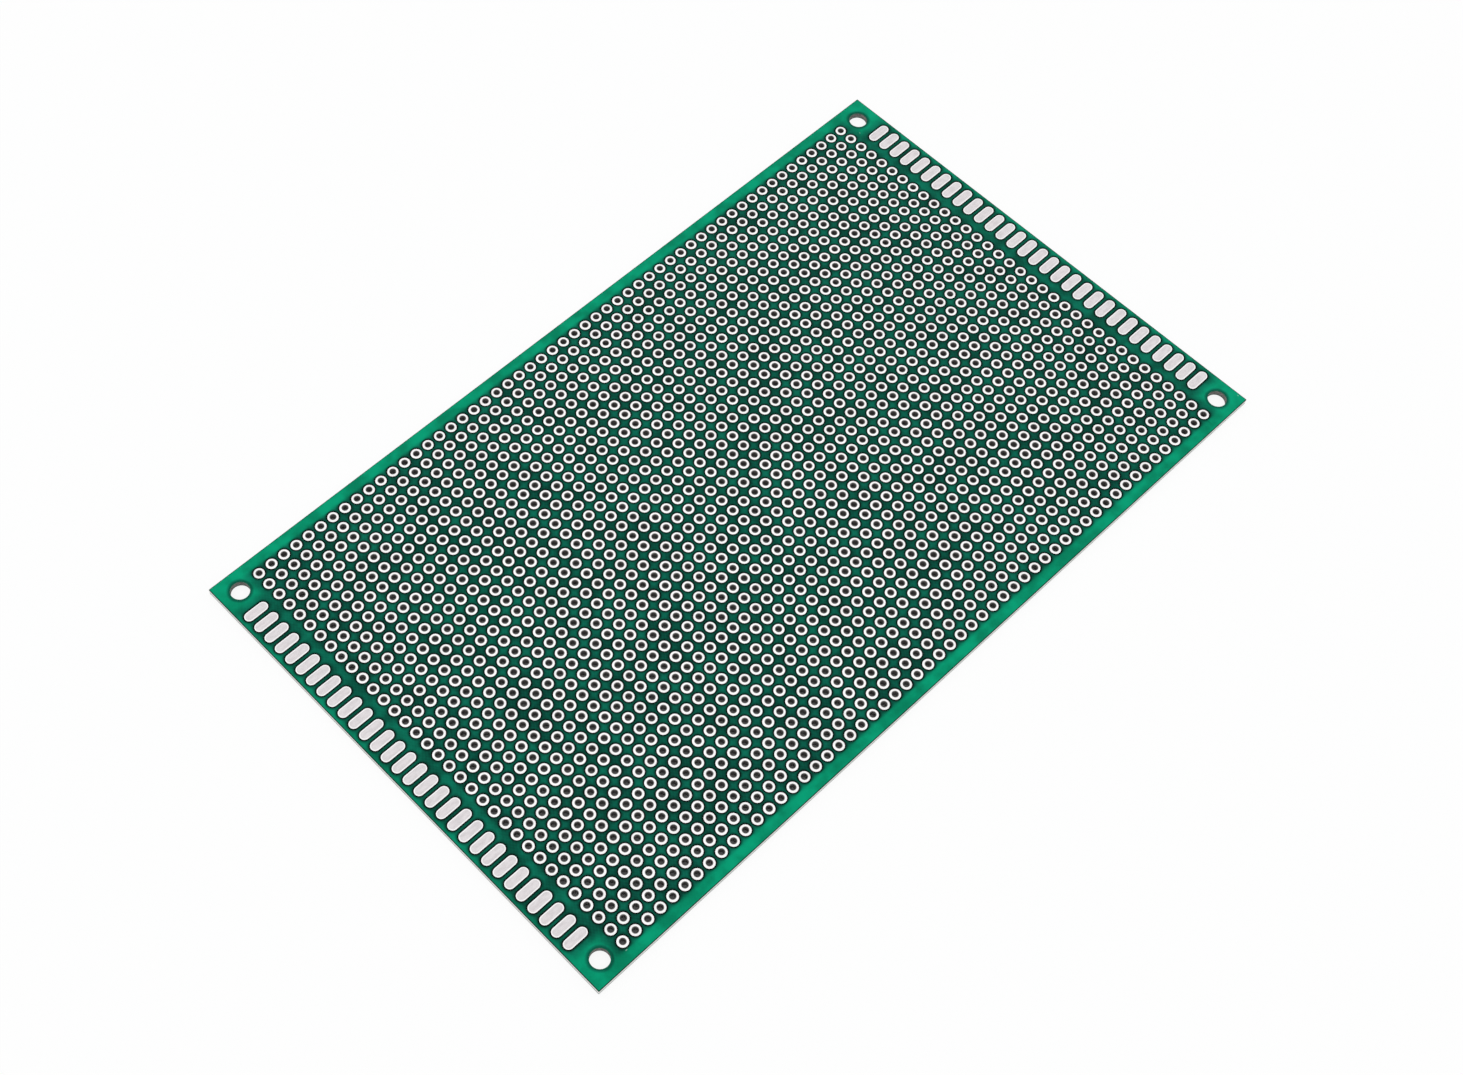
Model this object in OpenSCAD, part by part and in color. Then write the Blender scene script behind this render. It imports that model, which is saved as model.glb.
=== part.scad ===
// Double-sided prototyping board, 90 x 150 mm.
// X runs along the board, Y across it and Z up. The origin is the centre of the
// footprint, on the plane of the lower pads, which the board rests on.
// The near end is the one at -X. Row 01 is the row of holes nearest -Y.

/* [Board] */
// Length of the board
board_length = 150; // [100:1:200]
// Width of the board
board_width = 90; // [60:1:120]
// Thickness of the glass-epoxy sheet with the solder mask on both faces
board_t = 1.2; // [0.8:0.1:2.4]
// Thickness of the solder mask on each face
mask_t = 0.02; // [0.01:0.005:0.03]
// Bare ring that the solder mask leaves round every pad
mask_gap = 0.2; // [0.05:0.05:0.25]

/* [Mounting holes] */
// Diameter of the bare screw hole in each corner
mounting_hole_d = 3.2; // [2.2:0.1:4.2]
// Distance of its centre from both edges
mounting_hole_inset = 3.5; // [3:0.1:4.4]
// Bare ring that the solder mask leaves round it
mounting_hole_ring = 0.25; // [0.1:0.05:0.4]

/* [Plated holes] */
// Distance between neighbouring holes, both ways
pitch = 2.54; // [2.5:0.01:3.2]
// Diameter of the finished hole
hole_d = 1.0; // [0.7:0.05:1.2]
// Thickness of the plating on the wall of the hole
plating_t = 0.03; // [0.02:0.01:0.06]
// Diameter of the round pad on each face
pad_d = 1.9; // [1.6:0.05:2.1]
// Thickness of every pad, which stands proud of the solder mask
pad_t = 0.06; // [0.04:0.01:0.12]
// Least distance from a long edge to the first row of holes
side_margin = 2.5; // [2:0.1:6]

/* [Finger pads] */
// Length of a finger pad
finger_length = 4.4; // [3:0.1:6]
// Width of a finger pad, which is the diameter of its round ends
finger_width = 1.7; // [1:0.05:2]
// Distance from the short edge to the tip of the finger
finger_edge_gap = 0.8; // [0.4:0.1:2]
// Least distance from the fingers to the first column of round pads
finger_pad_gap = 0.7; // [0.5:0.1:2]
// Rows without a finger beside each long edge, which leave room for the screw heads
fingerless_rows = 2; // [2:1:5]

/* [Hidden] */
$fn = 48;

drill_d = hole_d + 2 * plating_t;

// The first column clears the fingers, and also the screw holes where the fingers are short
finger_reach = finger_edge_gap + finger_length + finger_pad_gap;
screw_hole_reach = mounting_hole_inset + mounting_hole_d / 2 + mounting_hole_ring + mask_gap;
end_margin = max(finger_reach, screw_hole_reach) + pad_d / 2;

// The grid is centred, with as many holes each way as the margins leave room for
columns = floor((board_length - 2 * end_margin) / pitch) + 1;
rows = floor((board_width - 2 * side_margin) / pitch) + 1;

// Heights, from the lower pads up: solder mask, bare sheet, bare sheet, solder mask, upper pads
board_z = pad_t - mask_t;
sheet_bottom_z = pad_t;
sheet_top_z = board_z + board_t - mask_t;
pad_top_z = sheet_top_z + pad_t;

finger_x = board_length / 2 - finger_edge_gap - finger_length / 2;
mounting_x = board_length / 2 - mounting_hole_inset;
mounting_y = board_width / 2 - mounting_hole_inset;

mask_green = [0.06, 0.53, 0.40];
bright_tin = [0.86, 0.87, 0.88];

function column_x(c) = (c - (columns + 1) / 2) * pitch;
function row_y(r) = (r - (rows + 1) / 2) * pitch;
function row_name(r) = str("plated_row_", r < 10 ? "0" : "", r);

module at_columns() {
    for (c = [1 : columns])
        translate([column_x(c), 0])
            children();
}

module at_rows(first, last) {
    for (r = [first : last])
        translate([0, row_y(r)])
            children();
}

module at_corners() {
    for (x = [-mounting_x, mounting_x])
        for (y = [-mounting_y, mounting_y])
            translate([x, y])
                children();
}

// An oblong with round ends, lying along X
module oblong(length, width) {
    straight = length - width;
    square([straight, width], center = true);
    for (x = [-straight / 2, straight / 2])
        translate([x, 0])
            circle(d = width);
}

// The finger pads of one end, each in line with a row of holes, made larger all round by grow
module finger_outlines(x, grow = 0) {
    translate([x, 0])
        at_rows(1 + fingerless_rows, rows - fingerless_rows)
            oblong(finger_length + 2 * grow, finger_width + 2 * grow);
}

// Where the solder mask leaves the sheet bare: one long window for each row of pads,
// one for each finger, and a ring round each screw hole
module mask_windows() {
    window = pad_d + 2 * mask_gap;
    at_rows(1, rows)
        oblong((columns - 1) * pitch + window, window);
    for (x = [-finger_x, finger_x])
        finger_outlines(x, mask_gap);
    at_corners()
        circle(d = mounting_hole_d + 2 * mounting_hole_ring);
}

// One coated sheet, with the windows of both faces and every hole drilled right through
module laminate() {
    color(mask_green)
        difference() {
            translate([0, 0, board_z])
                linear_extrude(board_t)
                    square([board_length, board_width], center = true);
            for (z = [board_z - mask_t, sheet_top_z])
                translate([0, 0, z])
                    linear_extrude(2 * mask_t)
                        mask_windows();
            at_rows(1, rows)
                at_columns()
                    cylinder(h = 2 * pad_top_z, d = drill_d);
            at_corners()
                cylinder(h = 2 * pad_top_z, d = mounting_hole_d);
        }
}

// Half the section of a plated hole: a thin barrel through the sheet, and a flat ring
// pad on each face that grips its edge
module plated_hole_section() {
    bore_r = hole_d / 2;
    drill_r = drill_d / 2;
    pad_r = pad_d / 2;
    polygon([
        [bore_r, 0],
        [pad_r, 0],
        [pad_r, sheet_bottom_z],
        [drill_r, sheet_bottom_z],
        [drill_r, sheet_top_z],
        [pad_r, sheet_top_z],
        [pad_r, pad_top_z],
        [bore_r, pad_top_z]
    ]);
}

module plated_row(r) {
    color(bright_tin)
        translate([0, row_y(r)])
            at_columns()
                rotate_extrude()
                    plated_hole_section();
}

// The finger pads of one end and one face
module fingers(x, z) {
    color(bright_tin)
        translate([0, 0, z])
            linear_extrude(pad_t)
                finger_outlines(x);
}

laminate();
for (r = [1 : rows]) plated_row(r);
fingers(-finger_x, sheet_top_z);  // near_fingers_top
fingers(finger_x, sheet_top_z);  // far_fingers_top
fingers(-finger_x, 0);  // near_fingers_bottom
fingers(finger_x, 0);  // far_fingers_bottom
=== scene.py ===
# %% [markdown]
# # A bare prototyping board
#
# The board is one thin sheet of glass-epoxy with a green coat printed on both faces, and nearly two
# thousand small tinned eyelets pressed through it. The imported model already says how large each
# piece is and where it lies, so this lesson only gives the pieces their finished surfaces: crowned
# tin, a coat with a round window for every pad, and a sawn edge. First the model is loaded, and its
# box is kept. Its box is kept, because a finish must never make the object larger.

# %% Load the frame
import math
import random

import bpy
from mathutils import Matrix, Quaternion, Vector
from mathutils.geometry import delaunay_2d_cdt


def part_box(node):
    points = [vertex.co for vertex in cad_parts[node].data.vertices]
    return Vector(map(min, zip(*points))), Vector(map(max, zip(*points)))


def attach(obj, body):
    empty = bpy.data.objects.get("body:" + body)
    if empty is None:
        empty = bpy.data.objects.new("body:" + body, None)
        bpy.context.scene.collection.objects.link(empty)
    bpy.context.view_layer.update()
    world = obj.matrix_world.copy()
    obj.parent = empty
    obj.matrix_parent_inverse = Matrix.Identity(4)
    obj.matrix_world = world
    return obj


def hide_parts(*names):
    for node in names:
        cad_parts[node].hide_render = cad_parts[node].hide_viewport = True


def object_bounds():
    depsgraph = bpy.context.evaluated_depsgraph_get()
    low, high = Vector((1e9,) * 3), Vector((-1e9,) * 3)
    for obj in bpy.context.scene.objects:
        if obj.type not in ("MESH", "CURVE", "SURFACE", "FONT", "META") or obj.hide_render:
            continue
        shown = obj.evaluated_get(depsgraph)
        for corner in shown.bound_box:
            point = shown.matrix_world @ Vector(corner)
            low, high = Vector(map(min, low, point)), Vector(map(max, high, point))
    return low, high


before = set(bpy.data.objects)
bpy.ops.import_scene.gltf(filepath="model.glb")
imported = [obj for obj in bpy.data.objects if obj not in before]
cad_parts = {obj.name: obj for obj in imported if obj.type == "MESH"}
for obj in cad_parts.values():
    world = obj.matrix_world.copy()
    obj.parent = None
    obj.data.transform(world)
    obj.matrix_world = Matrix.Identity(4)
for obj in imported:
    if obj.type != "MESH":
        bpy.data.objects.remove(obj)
cad_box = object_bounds()
MM = 0.001


def in_mm(*lengths):
    return " x ".join(f"{length / MM:.2f}" for length in lengths)


print("CAD box in mm:", in_mm(*(cad_box[1] - cad_box[0])))

# %% [markdown]
# Every size that the frame can give is measured from it: the pitch of the grid is the distance
# between the first and last rows shared out between them, and a pad's radius is half a row's width.
# Typing the numbers again would be shorter, but then the two models could drift apart. Only what is
# hidden inside a node's box, such as the bore of an eyelet, is given here by name.

# %% Measure the grid of eyelets
row_names = sorted(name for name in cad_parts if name.startswith("plated_row_"))
first_low, first_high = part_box(row_names[0])
last_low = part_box(row_names[-1])[0]
rows = len(row_names)
pad_r = (first_high.y - first_low.y) / 2
pitch = (last_low.y - first_low.y) / (rows - 1)
columns = round((first_high.x - first_low.x - 2 * pad_r) / pitch) + 1
bore_r = 0.50 * MM
drill_r = 0.53 * MM
column_xs = [(c - (columns - 1) / 2) * pitch for c in range(columns)]
row_ys = [(r - (rows - 1) / 2) * pitch for r in range(rows)]
print(f"{columns} columns, {rows} rows, pitch {in_mm(pitch)} mm, pads {in_mm(2 * pad_r)} mm")

# %% Measure the sheet and the finger pads
board_low, board_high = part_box("laminate")
finger_low, finger_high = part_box("near_fingers_top")
coat_t = 0.02 * MM
coat_gap = 0.20 * MM
sheet_low_z = board_low.z + coat_t
sheet_high_z = board_high.z - coat_t
middle_z = (board_low.z + board_high.z) / 2
pad_top_z = first_high.z
board_x = board_high.x
board_y = board_high.y
finger_length = finger_high.x - finger_low.x
finger_rows = math.floor((finger_high.y - finger_low.y) / pitch) + 1
finger_w = finger_high.y - finger_low.y - (finger_rows - 1) * pitch
finger_x = -(finger_low.x + finger_high.x) / 2
finger_ys = [(r - (finger_rows - 1) / 2) * pitch for r in range(finger_rows)]
screw_hole_r = 1.60 * MM
screw_ring = 0.25 * MM
screw_inset = 3.5 * MM
screw_x = board_x - screw_inset
screw_y = board_y - screw_inset
print(f"{finger_rows} fingers an end, {in_mm(finger_length, finger_w)} mm")

# %% [markdown]
# A camera can be placed by eye, or solved from points whose real places are known. Here it was
# solved from the four corners of the board, and it meets them to about five pixels. The holes were
# no help: the photograph has 52 or 53 columns of them where the frame has 54, so they do not lie
# over each other. The camera looks at a point left of the middle from 35 cm away, and is tilted by
# two degrees. It is written as an aim, two angles and a distance, because a reader can picture
# those, and not a matrix. The Standard view shows each colour as it is written.

# %% Place the camera
aim = Vector((-20.5 * MM, 8.4 * MM, board_high.z))
distance = 350.2 * MM
bearing = math.radians(224.6)
elevation = math.radians(59.8)
tilt = math.radians(2.1)
back = Vector((
    math.cos(elevation) * math.cos(bearing),
    math.cos(elevation) * math.sin(bearing),
    math.sin(elevation),
))
lens = bpy.data.cameras.new("camera")
lens.sensor_width = 36
lens.lens = 53.4
lens.shift_x = 0.078
lens.shift_y = -0.003
lens.clip_start = 0.01
camera = bpy.data.objects.new("camera", lens)
camera.location = aim + distance * back
camera.rotation_mode = "QUATERNION"
camera.rotation_quaternion = back.to_track_quat("Z", "Y") @ Quaternion((0, 0, 1), tilt)
bpy.context.collection.objects.link(camera)
bpy.context.scene.camera = camera
bpy.context.scene.view_settings.view_transform = "Standard"
print("camera at", in_mm(*camera.location), "mm")

# %% [markdown]
# A finish is a tree of shader nodes. Written node by node it is long and hard to read, so two small
# classes let it be written as arithmetic. A Term is a socket that can be added, scaled and compared,
# and each step adds one Math node. A Finish makes every other node through one method, which sets
# the node up first and then fills its sockets with numbers or with Terms.

# %% Arithmetic on shader sockets
class Term:
    """A socket that takes part in arithmetic."""

    def __init__(self, finish, socket):
        self.finish = finish
        self.socket = socket

    def math(self, operation, *values):
        return self.finish.node("ShaderNodeMath", {"operation": operation}, dict(enumerate(values)))

    def __add__(self, other):
        return self.math("ADD", self, other)

    def __radd__(self, other):
        return self.math("ADD", other, self)

    def __sub__(self, other):
        return self.math("SUBTRACT", self, other)

    def __rsub__(self, other):
        return self.math("SUBTRACT", other, self)

    def __mul__(self, other):
        return self.math("MULTIPLY", self, other)

    def __rmul__(self, other):
        return self.math("MULTIPLY", other, self)

    def __truediv__(self, other):
        return self.math("DIVIDE", self, other)

    def __abs__(self):
        return self.math("ABSOLUTE", self)

    def above(self, limit):
        return self.math("GREATER_THAN", self, limit)

    def sine(self):
        return self.math("SINE", self)

    def root(self):
        return self.math("SQRT", self)

    def wrap(self, low, high):
        return self.math("WRAP", self, high, low)

    def larger(self, other):
        return self.math("MAXIMUM", self, other)

    def ramp(self, low, high):
        """0 at low, 1 at high, and smooth between them."""
        settings = {"interpolation_type": "SMOOTHSTEP"}
        return self.finish.node("ShaderNodeMapRange", settings, {0: self, 1: low, 2: high})


# %% One method for every other node
class Finish:
    """A material whose nodes are all made by one method."""

    def __init__(self, name):
        self.material = bpy.data.materials.new(name)
        self.material.use_nodes = True
        self.tree = self.material.node_tree
        self.tree.nodes.clear()

    def node(self, kind, settings, inputs, output=0):
        made = self.tree.nodes.new(kind)
        for name, value in settings.items():
            setattr(made, name, value)
        for key, value in inputs.items():
            if isinstance(value, Term):
                self.tree.links.new(value.socket, made.inputs[key])
            else:
                made.inputs[key].default_value = value
        return Term(self, made.outputs[output])

    def place(self):
        """Where a point is on the board, as a vector and as its three lengths."""
        vector = self.node("ShaderNodeTexCoord", {}, {}, "Object")
        axes = [self.node("ShaderNodeSeparateXYZ", {}, {0: vector}, axis) for axis in range(3)]
        return vector, *axes

    def noise(self, vector, grain, detail=2.0):
        """Noise from 0 to 1, whose blotches are about grain across."""
        inputs = {"Vector": vector, "Scale": 1 / grain, "Detail": detail}
        return self.node("ShaderNodeTexNoise", {}, inputs)

    def stretch(self, vector, *factors):
        settings = {"operation": "MULTIPLY"}
        return self.node("ShaderNodeVectorMath", settings, {0: vector, 1: factors})

    def mix(self, share, first, second):
        """The first colour where share is 0, and the second where it is 1."""
        settings = {"data_type": "RGBA"}
        return self.node("ShaderNodeMix", settings, {0: share, 6: first, 7: second}, 2)

    def relief(self, height, depth):
        """A normal bent by a height from 0 to 1 that stands for depth metres."""
        return self.node("ShaderNodeBump", {}, {"Strength": 1.0, "Distance": depth, "Height": height})

    def surface(self, **inputs):
        sockets = {name.replace("_", " "): value for name, value in inputs.items()}
        shader = self.node("ShaderNodeBsdfPrincipled", {}, sockets)
        self.node_out(shader)
        return self.material

    def node_out(self, shader):
        out = self.tree.nodes.new("ShaderNodeOutputMaterial")
        self.tree.links.new(shader.socket, out.inputs["Surface"])


def paint(red, green, blue):
    """A colour as read off a screen, from 0 to 255, turned into the linear one that light needs."""
    linear = []
    for level in (red, green, blue):
        share = level / 255
        linear.append(share / 12.92 if share <= 0.04045 else ((share + 0.055) / 1.055) ** 2.4)
    return (*linear, 1.0)


print("mid grey is", round(paint(128, 128, 128)[0], 3))

# %% [markdown]
# The board lies on a white table. A white floor can be made by more and more light, but that would
# burn out the tin as well. Instead the floor is told to glow white only for the camera, and for what
# mirrors or looks through at it, and it keeps a share of ordinary shading, so the thin shadow under
# the board stays. Under the grid it is grey and hardly glows, because so little light gets down a
# narrow lead hole. From below it is pale all over. The light is a plain white sky with one broad
# lamp, which models the tin a little.

# %% Lay the floor
def white_floor():
    finish = Finish("white_floor")
    seen = finish.node("ShaderNodeLightPath", {}, {}, "Is Camera Ray")
    mirrored = finish.node("ShaderNodeLightPath", {}, {}, "Is Glossy Ray")
    through = finish.node("ShaderNodeLightPath", {}, {}, "Is Transmission Ray")
    place, x, y, z = finish.place()
    below = finish.node("ShaderNodeNewGeometry", {}, {}, "Backfacing")
    beside = abs(x).above(column_xs[-1] + pitch).larger(abs(y).above(row_ys[-1] + pitch))
    outside = beside.larger(below)
    # Painted shade: under the grid the floor is grey, and its glow drops almost to nothing.
    grey = finish.node("ShaderNodeBsdfDiffuse", {}, {"Color": paint(150, 150, 150)})
    pale = finish.node("ShaderNodeBsdfDiffuse", {}, {"Color": paint(244, 245, 245)})
    matt = finish.node("ShaderNodeMixShader", {}, {0: outside, 1: grey, 2: pale})
    glow = finish.node("ShaderNodeEmission", {}, {"Color": paint(255, 255, 255), "Strength": 1.0})
    share = seen.larger(mirrored).larger(through) * (outside * 0.87 + 0.01)
    finish.node_out(finish.node("ShaderNodeMixShader", {}, {0: share, 1: matt, 2: glow}))
    return finish.material


def lay_floor(half_side):
    low_z = cad_box[0].z
    corners = [
        (-half_side, -half_side, low_z),
        (half_side, -half_side, low_z),
        (half_side, half_side, low_z),
        (-half_side, half_side, low_z),
    ]
    mesh = bpy.data.meshes.new("floor")
    mesh.from_pydata(corners, [], [(0, 1, 2, 3)])
    mesh.materials.append(white_floor())
    floor = bpy.data.objects.new("floor", mesh)
    bpy.context.collection.objects.link(floor)
    return floor


floor = lay_floor(3.0)
print("floor at", in_mm(cad_box[0].z), "mm")

# %% Light the table
def white_sky(strength):
    world = bpy.data.worlds.new("white_sky")
    world.use_nodes = True
    sky = world.node_tree.nodes["Background"]
    sky.inputs["Color"].default_value = paint(255, 255, 255)
    sky.inputs["Strength"].default_value = strength
    bpy.context.scene.world = world


def broad_lamp(name, side, power, place):
    light = bpy.data.lights.new(name, "AREA")
    light.size = side
    light.energy = power
    lamp = bpy.data.objects.new(name, light)
    lamp.location = place
    lamp.rotation_mode = "QUATERNION"
    lamp.rotation_quaternion = Vector(place).to_track_quat("Z", "Y")
    bpy.context.collection.objects.link(lamp)
    return lamp


white_sky(1.0)
broad_lamp("window_lamp", 0.8, 0.3, (-0.5, 0.7, 0.9))
print("lamps:", [lamp.name for lamp in bpy.data.lights])

# %% [markdown]
# All the pieces are plain meshes built from lists of points, so one function turns points and faces
# into an object, rides it on the board's only body and puts its finishes in its material slots. Faces
# are shaded smooth, and edges that turn by more than fifty degrees are kept sharp, so that a crown
# looks round and a rim stays crisp.

# %% Turn points into a piece
def make_piece(name, points, faces, finishes, face_finish=None, sharp=50):
    mesh = bpy.data.meshes.new(name)
    mesh.from_pydata(points, [], faces)
    for finish in finishes:
        mesh.materials.append(finish)
    if face_finish:
        mesh.polygons.foreach_set("material_index", face_finish)
    mesh.polygons.foreach_set("use_smooth", [True] * len(faces))
    mesh.set_sharp_from_angle(angle=math.radians(sharp))
    piece = bpy.data.objects.new(name, mesh)
    bpy.context.collection.objects.link(piece)
    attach(piece, "root")
    return piece


def circle(centre_x, centre_y, radius, corners):
    """Corners of a round outline, counter-clockwise, the first of them at +X."""
    turns = [2 * math.pi * k / corners for k in range(corners)]
    return [(centre_x + radius * math.cos(a), centre_y + radius * math.sin(a)) for a in turns]


def oblong(centre_x, centre_y, length, width, corners):
    """Corners of an outline with two straight sides and two round ends, counter-clockwise."""
    radius = width / 2
    reach = length / 2 - radius
    points = []
    for side, start in ((1, -math.pi / 2), (-1, math.pi / 2)):
        for k in range(corners + 1):
            a = start + math.pi * k / corners
            points.append((
                centre_x + side * reach + radius * math.cos(a),
                centre_y + radius * math.sin(a),
            ))
    return points


pad_corners = 16
end_corners = 8
screw_corners = 48
print("each pad has", pad_corners, "corners, and a finger's end", end_corners)

# %% [markdown]
# Bright tin is a metal, so its colour is its reflection: a high base colour and Metallic at 1. What
# makes it look dipped and not machined is unevenness. Two noises of different grain vary the
# roughness and the tone, and a fine one bends the surface by a few thousandths of a millimetre.
# Where the tin falls away below the top of the pads, its colour turns to a rim colour, a painted
# highlight. Inside a barrel the tin is duller and little light gets down the bore, so the barrels have
# a darker finish of their own; the darker grey is painted shade.

# %% Finish of the dipped tin
def dipped_tin(name, dull, bright, rim, streak):
    finish = Finish(name)
    place, x, y, z = finish.place()
    blotch = finish.noise(finish.stretch(place, 1, streak, 1), 1.3 * MM, 3)
    grain = finish.noise(place, 0.12 * MM)
    shade = (blotch * 0.75 + grain * 0.25).ramp(0.3, 0.7)
    # Painted highlight: where the tin lies a few thousandths of a millimetre or more below the top of
    # the pads, as on its slopes, its colour turns to the rim colour.
    drop = (pad_top_z - middle_z) - abs(z - middle_z)
    slope = drop.ramp(0.001 * MM, 0.006 * MM)
    return finish.surface(
        Base_Color=finish.mix(slope, finish.mix(shade, dull, bright), rim),
        Metallic=1.0,
        Roughness=0.44 - 0.16 * shade,
        Normal=finish.relief(blotch * 0.7 + grain * 0.3, 0.012 * MM),
    )


def dull_shaded_barrel():
    finish = Finish("dull_shaded_barrel")
    place, x, y, z = finish.place()
    # Painted shade: the tin in the bore and on its lips gets a darker grey than the pads, and patches
    # of noise vary it.
    barrel_patches = finish.noise(place, 0.4 * MM, 3)
    return finish.surface(
        Base_Color=finish.mix(barrel_patches, paint(98, 97, 96), paint(152, 149, 147)),
        Metallic=0.5,
        Roughness=0.32 + 0.2 * barrel_patches,
    )


white_tin = paint(254, 253, 253)
pad_tin = dipped_tin("pad_tin", paint(246, 244, 244), white_tin, white_tin, 1.0)
finger_tin = dipped_tin("finger_tin", paint(213, 208, 210), paint(229, 224, 226), white_tin, 2.5)
barrel_tin = dull_shaded_barrel()
print("tin finishes:", pad_tin.name, finger_tin.name, barrel_tin.name)

# %% [markdown]
# An eyelet is a solid of revolution: a thin barrel with a ring on each face. A flat washer would be
# quick, but molten tin draws itself up into a low crown that slopes down to the rim and rolls over
# the lip of the bore, and that slope is what catches the light. So the section is drawn as a few
# points and turned about each hole's centre. Each crown gets its own small fault of height, from a
# seeded random generator, because no two are alike.

# %% Draw the section of an eyelet
lip_drop = 0.032 * MM
lip_w = 0.095 * MM
slope_w = 0.050 * MM
most_drop_mm = 0.006


def eyelet_section(crown_drop):
    """Points (radius, height above the sheet's middle), from the upper lip round to the lower."""
    top = pad_top_z - middle_z
    sheet = sheet_high_z - middle_z
    crown = top - crown_drop
    upper = [
        (bore_r, crown - lip_drop),
        (bore_r + lip_w, crown),
        (pad_r - slope_w, crown),
        (pad_r, sheet),
        (drill_r, sheet),
    ]
    lower = [(radius, -height) for radius, height in reversed(upper)]
    return upper + lower


print("section of an eyelet:", len(eyelet_section(0)), "points")

# %% Turn the sections into rows
def eyelet_row(name, row_y, dice):
    points, faces, face_finish = [], [], []
    turn = circle(0, 0, 1, pad_corners)
    for column_x in column_xs:
        section = eyelet_section(dice.uniform(0, most_drop_mm) * MM)
        start = len(points)
        for radius, height in section:
            points += [(column_x + radius * c, row_y + radius * s, middle_z + height) for c, s in turn]
        for k in range(len(section)):
            ring = start + k * pad_corners
            following = start + (k + 1) % len(section) * pad_corners
            for j in range(pad_corners):
                i = (j + 1) % pad_corners
                faces.append((ring + j, following + j, following + i, ring + i))
            # The lips and the barrel wall take the darker tin, a painted shade.
            inside = k in (0, len(section) - 2, len(section) - 1)
            face_finish += [1 if inside else 0] * pad_corners
    piece = make_piece(name, points, faces, [pad_tin, barrel_tin], face_finish)
    return piece


dice = random.Random(90150)
for row_name, row_y in zip(row_names, row_ys):
    row_piece = eyelet_row("tin_" + row_name, row_y, dice)
    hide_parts(row_name)
print("eyelets:", rows * columns, "with", len(row_piece.data.polygons) // columns, "faces each")

# %% [markdown]
# The finger pads are the same tin on a longer shape. Their crown is so low that a plain extrusion
# would do from far away, but its edge would be a hard step. Here the outline is repeated a few
# times, each time a little higher and further in, so that the edge rolls over like a drop of solder.

# %% Crown the finger pads
def finger_bank(name, end, face):
    """The fingers of one end, -1 or 1, and one face of the board, -1 or 1."""
    top = pad_top_z - middle_z
    sheet = sheet_high_z - middle_z
    steps = [
        (0.00 * MM, sheet),
        (0.02 * MM, top - 0.024 * MM),
        (0.12 * MM, top - 0.006 * MM),
        (0.26 * MM, top),
    ]
    points, faces = [], []
    for finger_y in finger_ys:
        start = len(points)
        for inset, height in steps:
            shape = (finger_length - 2 * inset, finger_w - 2 * inset)
            outline = oblong(end * finger_x, finger_y, *shape, end_corners)
            points += [(x, y, middle_z + face * height) for x, y in outline]
        count = len(outline)
        bands = []
        for k in range(len(steps) - 1):
            for j in range(count):
                i = (j + 1) % count
                low = start + k * count
                high = low + count
                bands.append((low + j, low + i, high + i, high + j))
        last = start + (len(steps) - 1) * count
        bands.append(tuple(range(last, last + count)))
        bands.append(tuple(reversed(range(start, start + count))))
        faces += bands if face > 0 else [tuple(reversed(band)) for band in bands]
    return make_piece(name, points, faces, [finger_tin])


for end_name, end in (("near", -1), ("far", 1)):
    for face_name, face in (("top", 1), ("bottom", -1)):
        bank = finger_bank(f"tin_{end_name}_fingers_{face_name}", end, face)
        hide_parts(f"{end_name}_fingers_{face_name}")
print("finger pads:", 4 * finger_rows)

# %% [markdown]
# The sheet and its two coats are flat plates full of holes. Cutting them with booleans would take
# minutes. A constrained triangulation takes the outline and the edges of all the holes at once, and
# fills the plane with well-shaped triangles in a second. The triangles whose three corners lie on
# one hole are the hole itself and are dropped, and a wall is raised along every edge that is left.

# %% Build a plate with holes
def plate(outline, holes, low_z, high_z):
    """Points and faces of a flat plate. The outline and the holes are counter-clockwise."""
    loops = [outline] + [list(reversed(hole)) for hole in holes]
    flat, owner, edges = [], [], []
    for number, loop in enumerate(loops):
        start = len(flat)
        flat += [Vector(point) for point in loop]
        owner += [number] * len(loop)
        edges += [(start + k, start + (k + 1) % len(loop)) for k in range(len(loop))]
    triangles = delaunay_2d_cdt(flat, edges, [], 0, 1e-7, False)[2]
    solid = [t for t in triangles if owner[t[0]] == 0 or len({owner[k] for k in t}) > 1]
    count = len(flat)
    points = [(p.x, p.y, high_z) for p in flat] + [(p.x, p.y, low_z) for p in flat]
    faces = [(i + count, j + count, j, i) for i, j in edges]
    faces += [tuple(t) for t in solid]
    faces += [tuple(k + count for k in reversed(t)) for t in solid]
    return points, faces


def rectangle(half_x, half_y):
    return [(-half_x, -half_y), (half_x, -half_y), (half_x, half_y), (-half_x, half_y)]


def at_grid(radius):
    return [circle(x, y, radius, pad_corners) for y in row_ys for x in column_xs]


def at_screws(radius):
    places = [(x, y) for x in (-screw_x, screw_x) for y in (-screw_y, screw_y)]
    return [circle(x, y, radius, screw_corners) for x, y in places]


print("a sheet has", len(at_grid(drill_r)) + len(at_screws(screw_hole_r)), "holes")

# %% [markdown]
# The sheet itself is seen in three places: at its sawn edge, in the four screw holes, and as a thin
# bare ring in each window of the coat. The edge shows the plies of glass cloth as faint lines in
# pale resin, and turns dark green in a band next to each face. The walls of the screw holes are
# painted a darker grey, and the bare rings near black or dark green, all as painted shade for the
# recesses they lie in. One finish serves all three, and picks its colour by the height of the point
# and, near the corners, by the distance from a screw hole.

# %% Finish of the glass-epoxy
ply_t = 0.16 * MM
face_band_w = 0.14 * MM


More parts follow.
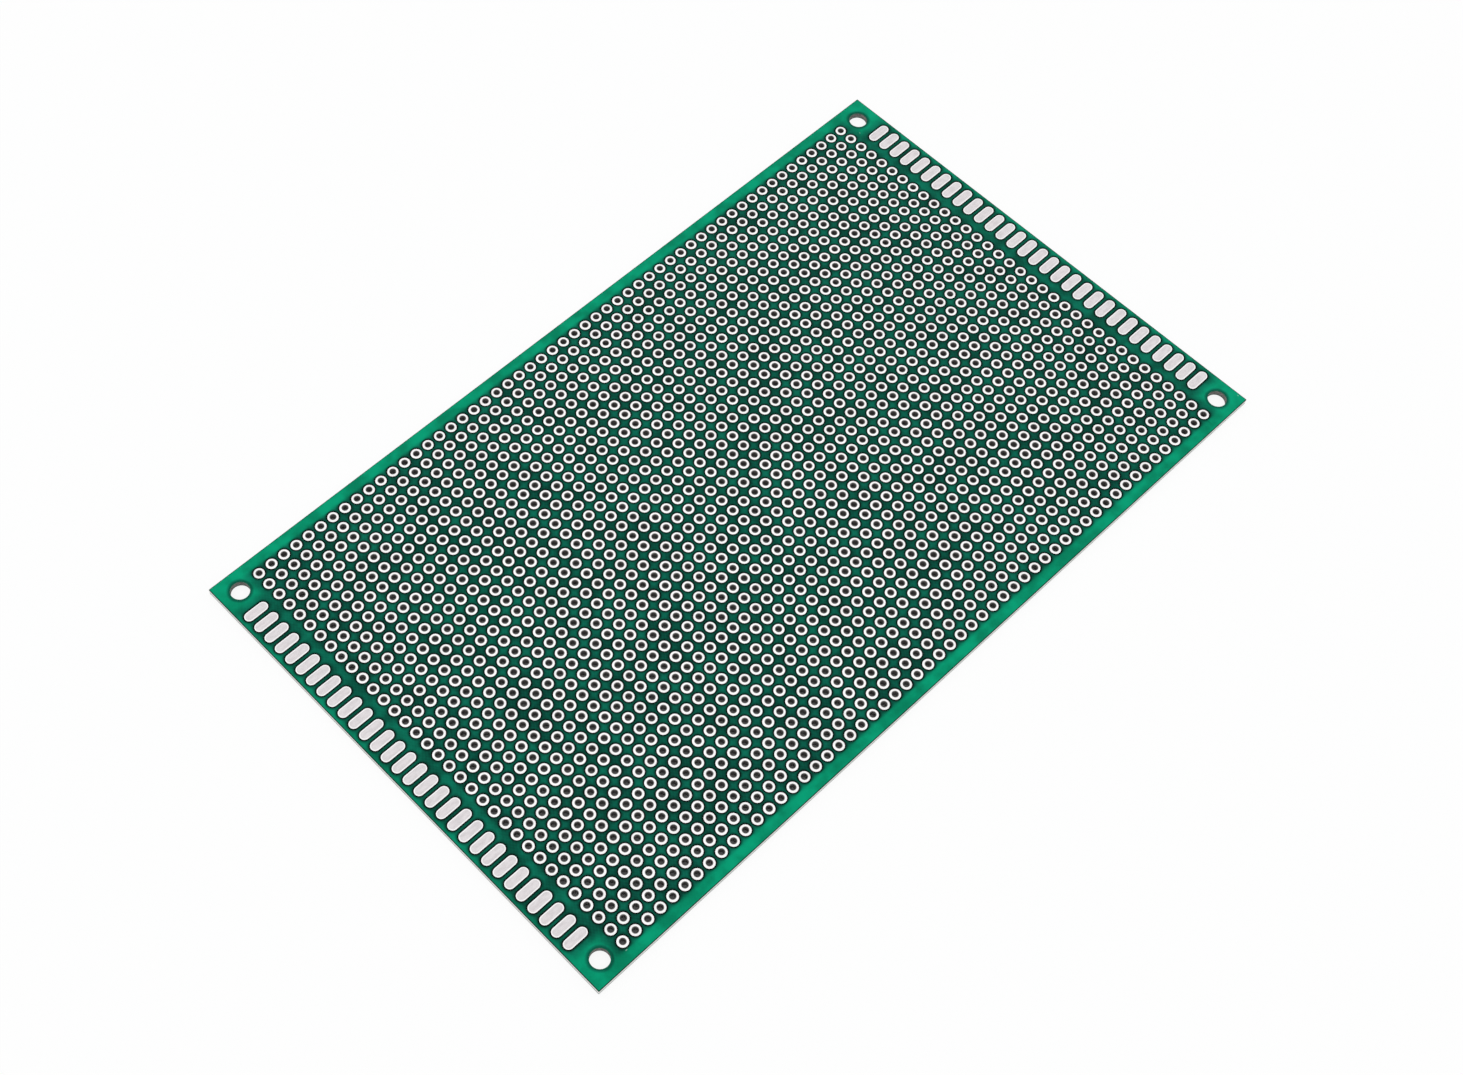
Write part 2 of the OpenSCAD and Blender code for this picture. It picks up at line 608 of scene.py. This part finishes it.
def glass_epoxy():
    finish = Finish("glass_epoxy")
    place, x, y, z = finish.place()
    half_t = (sheet_high_z - sheet_low_z) / 2
    height = abs(z - middle_z)
    fibres = finish.noise(finish.stretch(place, 1, 1, 6), 0.5 * MM, 4)
    ply = ((z - middle_z) * (2 * math.pi / ply_t) + fibres * 3).sine() * 0.5 + 0.5
    sawn = finish.mix(ply * 0.6 + fibres * 0.4, paint(204, 205, 201), paint(236, 236, 233))
    # The sawn edge, and the wall of a screw hole, turn dark green in a band next to each face.
    face_band = height.ramp(half_t - 2 * face_band_w, half_t - face_band_w)
    edge = finish.mix(face_band * 0.9, sawn, paint(12, 60, 48))
    along = abs(x) - screw_x
    across = abs(y) - screw_y
    from_screw = (along * along + across * across).root()
    bored = 1 - from_screw.above(screw_hole_r + 0.05 * MM)
    # Painted shade: the walls of the screw holes are a darker grey than the sawn edge.
    drilled = finish.mix(fibres.ramp(0.3, 0.7), paint(96, 95, 92), paint(158, 155, 151))
    wall = finish.mix(bored, edge, finish.mix(face_band * 0.6, drilled, paint(40, 92, 78)))
    by_screw = 1 - from_screw.above(screw_hole_r + 2 * screw_ring)
    # Painted shade: the bare sheet in each pad window is near black, and round the screw holes a dark
    # green, for the recess it lies in.
    in_window = finish.mix(fibres, paint(1, 9, 7), paint(8, 22, 18))
    bare = finish.mix(by_screw, in_window, finish.mix(fibres, paint(3, 78, 60), paint(8, 102, 78)))
    flat = height.above(half_t - 0.002 * MM)
    return finish.surface(
        Base_Color=finish.mix(flat, wall, bare),
        Roughness=0.55 + 0.3 * fibres,
        Specular_IOR_Level=0.05,
        Normal=finish.relief(fibres, 0.02 * MM),
    )


epoxy = glass_epoxy()
print("finish of the sheet:", epoxy.name)

# %% Cut the sheet
sheet_points, sheet_faces = plate(
    rectangle(board_x, board_y),
    at_grid(drill_r) + at_screws(screw_hole_r),
    sheet_low_z,
    sheet_high_z,
)
sheet = make_piece("glass_epoxy_sheet", sheet_points, sheet_faces, [epoxy])
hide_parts("laminate")
print("sheet:", len(sheet_faces), "faces")

# %% [markdown]
# The green coat lets light through, and so does the sheet under it. Over bare sheet the coat glows a
# brighter green, as at the long edges and the corners, and among the tin pads, which shut the light
# out, it looks deeper. This glow and this shade are painted into the colour. That could be painted by
# hand, but it follows the pads, so the finish works it out from the place: deep inside the grid,
# halfway between the fingers, deeper again round each screw hole, and bright outside. The same sums
# find the nearest pad and paint a dark shade round it, close to black at its window and fading out
# over about half a millimetre. A slow noise adds the patchiness of a printed coat, and two crossed
# waves the cloth beneath it. The upper face also has three pale scuffs and a faint scratch, each a
# small soft-edged oval.

# %% Finish of the green coat
warp_gap = 0.58 * MM
weft_gap = 0.79 * MM
rim_w = 0.46 * MM


def green_coat():
    finish = Finish("green_coat")
    place, x, y, z = finish.place()
    patch = finish.noise(place, 3.2 * MM, 4)
    grain = finish.noise(place, 0.25 * MM)
    warp = (x * (2 * math.pi / warp_gap)).sine()
    weft = (y * (2 * math.pi / weft_gap)).sine()
    cloth = warp * weft * 0.5 + 0.5

    def within(axis, half, soft):
        return 1 - abs(axis).ramp(half - 0.3 * MM, half + soft)

    def from_nearest(axis, first):
        return (axis - first).wrap(-pitch / 2, pitch / 2)

    def apart(along, across):
        return (along * along + across * across).root()

    def mark(mark_x, mark_y, half_x, half_y):
        from_mark = apart((x - mark_x * MM) / (half_x * MM), (y - mark_y * MM) / (half_y * MM))
        return (1 - from_mark.ramp(0.4, 1.0)) * z.above(middle_z)

    from_column = from_nearest(x, column_xs[0])
    from_row = from_nearest(y, row_ys[0])
    from_pad = apart(from_column, from_row) - pad_r
    straight = (finger_length - finger_w) / 2
    from_finger = apart((abs(abs(x) - finger_x) - straight).larger(0), from_row) - finger_w / 2
    in_grid = 1 - abs(x).above(column_xs[-1] + pitch / 2).larger(abs(y).above(row_ys[-1] + pitch / 2))
    in_bank = 1 - abs(y).above(finger_ys[-1] + pitch / 2)
    # Painted shade: the coat turns nearly black at the edge of each window and fades back over about
    # half a millimetre.
    rim = coat_gap + rim_w
    pad_rim = (1 - from_pad.ramp(0, rim)) * in_grid
    finger_rim = (1 - from_finger.ramp(0, rim)) * in_bank
    shade_round_tin = pad_rim.larger(finger_rim)
    from_screw = apart(abs(x) - screw_x, abs(y) - screw_y) - screw_hole_r
    # Painted shade: the coat is a deeper green in a soft ring round each screw hole.
    screw_shade = 1 - from_screw.ramp(screw_ring, screw_ring + 0.5 * MM)
    # Painted glow and shade: the coat is a brighter green outside the grid and the finger banks, and a
    # deeper green inside them.
    grid = within(x, column_xs[-1] + pad_r, 2.4 * MM) * within(y, row_ys[-1] + pad_r, 0.8 * MM)
    between = within(x, finger_x + finger_length / 2, 0.4 * MM)
    banks = within(y, finger_ys[-1] + pitch / 2, 1.8 * MM) * (between * 0.45 + 0.45)
    covered = grid.larger(banks).larger(screw_shade * 0.9)
    open_green = finish.mix(patch.ramp(0.3, 0.7), paint(1, 123, 89), paint(3, 156, 115))
    deep_green = finish.mix(patch.ramp(0.3, 0.7), paint(4, 62, 51), paint(8, 104, 83))
    plain = finish.mix(shade_round_tin * 0.95, finish.mix(covered, open_green, deep_green), paint(1, 24, 19))
    scratched = finish.mix(mark(66.8, -42.8, 0.12, 1.7) * 0.5, plain, deep_green)
    near_scuff = mark(-67.8, -43.2, 0.26, 0.11)
    corner_scuff = mark(74.6, -43.5, 0.12, 0.20)
    far_scuff = mark(69.5, 39.2, 0.10, 0.16)
    scuffs = near_scuff + corner_scuff + far_scuff
    worn = finish.mix(scuffs * 0.55, scratched, paint(150, 205, 185))
    return finish.surface(
        Base_Color=finish.mix(cloth * 0.08, worn, paint(14, 158, 118)),
        Roughness=0.34 + 0.10 * grain,
        Specular_IOR_Level=0.03,
        Normal=finish.relief(cloth * 0.5 + grain * 0.5, 0.004 * MM),
    )


coat = green_coat()
print("finish of the coat:", coat.name)

# %% [markdown]
# The coat could be only a colour on the sheet. But each window has an edge with a real step, which
# draws a fine line round every pad, so the coat is made as what it is: a film two hundredths of a
# millimetre thick, with a round window for each pad, a long one for each finger and a ring of bare
# sheet round the screw holes. It stops just short of the sawn edge.

# %% Print the coat on both faces
coat_margin = 0.10 * MM
windows = at_grid(pad_r + coat_gap) + at_screws(screw_hole_r + screw_ring)
for end in (-1, 1):
    for finger_y in finger_ys:
        long_window = (finger_length + 2 * coat_gap, finger_w + 2 * coat_gap)
        windows.append(oblong(end * finger_x, finger_y, *long_window, end_corners))
coat_outline = rectangle(board_x - coat_margin, board_y - coat_margin)
for coat_name, low_z, high_z in (
    ("solder_mask_top", sheet_high_z, board_high.z),
    ("solder_mask_bottom", board_low.z, sheet_low_z),
):
    coat_points, coat_faces = plate(coat_outline, windows, low_z, high_z)
    make_piece(coat_name, coat_points, coat_faces, [coat])
    print(coat_name, "has", len(windows), "windows and", len(coat_faces), "faces")
